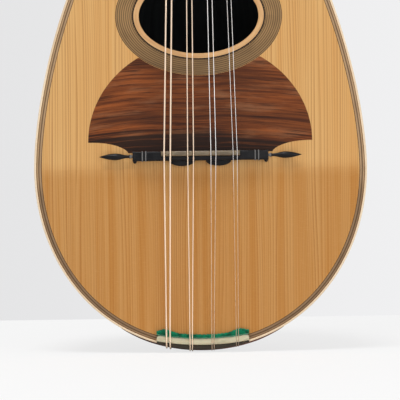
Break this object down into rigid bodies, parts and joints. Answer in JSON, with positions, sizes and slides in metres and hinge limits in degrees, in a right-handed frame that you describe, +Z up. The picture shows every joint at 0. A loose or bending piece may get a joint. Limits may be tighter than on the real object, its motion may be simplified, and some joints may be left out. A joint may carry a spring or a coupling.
{
  "type": "bowlback mandolin",
  "caption": "Bowlback mandolin with a canted soundboard, floating bridge, strings in pairs, ribbed bowl and geared tuners.",
  "frame": {"origin": "back of the neck level with the nut, where a hanger's yoke holds the instrument", "axes": "+Z up the neck towards the headstock, -Y out of the soundboard, +X to the treble side"},
  "size_m": [0.195, 0.145, 0.5971],
  "materials": {
    "spruce": "aged spruce under thin varnish",
    "bowl_wood": "polished rosewood ribs",
    "neck_wood": "polished mahogany",
    "light_wood": "pale inlaid wood",
    "inlay_wood": "fine dark and tan lines of inlaid wood",
    "rosewood": "polished rosewood",
    "ebony": "satin ebony",
    "bone": "polished bone",
    "button_bone": "polished bone",
    "felt": "green felt",
    "nickel": "satin nickel plate",
    "brass": "satin brass",
    "steel": "bright steel",
    "string_bronze": "bronze winding",
    "string_steel": "bright plain steel wire"
  },
  "bodies": {
    "root": {"bowl_ribs": "bowl_wood", "tail_cap": "bowl_wood", "neck_block": "neck_wood", "tail_block": "neck_wood", "brace_upper": "spruce", "brace_lower": "spruce", "brace_bridge": "spruce", "soundboard": "spruce", "edge_binding": "light_wood", "purfling": "inlay_wood", "soundhole_ring": "light_wood", "rosette": "inlay_wood", "scratch_plate": "rosewood", "tail_saddle": "bone", "tail_felt": "felt", "tail_strip": "ebony", "tailpiece": "nickel", "tailpiece_screw_left": "steel", "tailpiece_screw_right": "steel", "neck": "neck_wood", "fingerboard": "ebony", "nut": "bone", "string_g_1": "string_bronze", "string_g_2": "string_bronze", "string_d_1": "string_bronze", "string_d_2": "string_bronze", "string_a_1": "string_steel", "string_a_2": "string_steel", "string_e_1": "string_steel", "string_e_2": "string_steel", "headstock": "neck_wood", "headstock_veneer": "rosewood", "tuner_plate_left": "brass", "tuner_plate_right": "brass"},
    "bridge_body": {"bridge": "ebony", "bridge_saddle": "bone"},
    "key_1": {"worm_shaft_1": "steel", "button_1": "button_bone"},
    "key_2": {"worm_shaft_2": "steel", "button_2": "button_bone"},
    "key_3": {"worm_shaft_3": "steel", "button_3": "button_bone"},
    "key_4": {"worm_shaft_4": "steel", "button_4": "button_bone"},
    "key_5": {"worm_shaft_5": "steel", "button_5": "button_bone"},
    "key_6": {"worm_shaft_6": "steel", "button_6": "button_bone"},
    "key_7": {"worm_shaft_7": "steel", "button_7": "button_bone"},
    "key_8": {"worm_shaft_8": "steel", "button_8": "button_bone"},
    "roller_1": {"post_1": "brass"},
    "roller_2": {"post_2": "brass"},
    "roller_3": {"post_3": "brass"},
    "roller_4": {"post_4": "brass"},
    "roller_5": {"post_5": "brass"},
    "roller_6": {"post_6": "brass"},
    "roller_7": {"post_7": "brass"},
    "roller_8": {"post_8": "brass"}
  },
  "joints": [
    {"name": "bridge_shift", "type": "slide", "parent": "root", "child": "bridge_body", "axis": [0, 0, 1], "range_m": [-0.001, 0.001]},
    {"name": "key_turn_1", "type": "hinge", "parent": "root", "child": "key_1", "pos_m": [-0.0175, 0.01235, 0.03741], "axis": [1, 0, 0], "continuous": true},
    {"name": "key_turn_2", "type": "hinge", "parent": "root", "child": "key_2", "pos_m": [-0.0175, 0.01791, 0.05972], "axis": [1, 0, 0], "continuous": true},
    {"name": "key_turn_3", "type": "hinge", "parent": "root", "child": "key_3", "pos_m": [-0.0175, 0.02348, 0.08204], "axis": [1, 0, 0], "continuous": true},
    {"name": "key_turn_4", "type": "hinge", "parent": "root", "child": "key_4", "pos_m": [-0.0175, 0.02904, 0.10436], "axis": [1, 0, 0], "continuous": true},
    {"name": "key_turn_5", "type": "hinge", "parent": "root", "child": "key_5", "pos_m": [0.0175, 0.01235, 0.03741], "axis": [1, 0, 0], "continuous": true},
    {"name": "key_turn_6", "type": "hinge", "parent": "root", "child": "key_6", "pos_m": [0.0175, 0.01791, 0.05972], "axis": [1, 0, 0], "continuous": true},
    {"name": "key_turn_7", "type": "hinge", "parent": "root", "child": "key_7", "pos_m": [0.0175, 0.02348, 0.08204], "axis": [1, 0, 0], "continuous": true},
    {"name": "key_turn_8", "type": "hinge", "parent": "root", "child": "key_8", "pos_m": [0.0175, 0.02904, 0.10436], "axis": [1, 0, 0], "continuous": true},
    {"name": "post_turn_1", "type": "hinge", "parent": "root", "child": "roller_1", "pos_m": [-0.0175, -0.00726, 0.03565], "axis": [0, -0.9703, 0.2419], "continuous": true},
    {"name": "post_turn_2", "type": "hinge", "parent": "root", "child": "roller_2", "pos_m": [-0.0175, -0.00169, 0.05797], "axis": [0, -0.9703, 0.2419], "continuous": true},
    {"name": "post_turn_3", "type": "hinge", "parent": "root", "child": "roller_3", "pos_m": [-0.0175, 0.00387, 0.08028], "axis": [0, -0.9703, 0.2419], "continuous": true},
    {"name": "post_turn_4", "type": "hinge", "parent": "root", "child": "roller_4", "pos_m": [-0.0175, 0.00943, 0.1026], "axis": [0, -0.9703, 0.2419], "continuous": true},
    {"name": "post_turn_5", "type": "hinge", "parent": "root", "child": "roller_5", "pos_m": [0.0175, -0.00726, 0.03565], "axis": [0, -0.9703, 0.2419], "continuous": true},
    {"name": "post_turn_6", "type": "hinge", "parent": "root", "child": "roller_6", "pos_m": [0.0175, -0.00169, 0.05797], "axis": [0, -0.9703, 0.2419], "continuous": true},
    {"name": "post_turn_7", "type": "hinge", "parent": "root", "child": "roller_7", "pos_m": [0.0175, 0.00387, 0.08028], "axis": [0, -0.9703, 0.2419], "continuous": true},
    {"name": "post_turn_8", "type": "hinge", "parent": "root", "child": "roller_8", "pos_m": [0.0175, 0.00943, 0.1026], "axis": [0, -0.9703, 0.2419], "continuous": true}
  ],
  "couplings": [
    {"joint": "post_turn_1", "follows": "key_turn_1", "ratio": 0.071429},
    {"joint": "post_turn_2", "follows": "key_turn_2", "ratio": 0.071429},
    {"joint": "post_turn_3", "follows": "key_turn_3", "ratio": 0.071429},
    {"joint": "post_turn_4", "follows": "key_turn_4", "ratio": 0.071429},
    {"joint": "post_turn_5", "follows": "key_turn_5", "ratio": 0.071429},
    {"joint": "post_turn_6", "follows": "key_turn_6", "ratio": 0.071429},
    {"joint": "post_turn_7", "follows": "key_turn_7", "ratio": 0.071429},
    {"joint": "post_turn_8", "follows": "key_turn_8", "ratio": 0.071429}
  ]
}
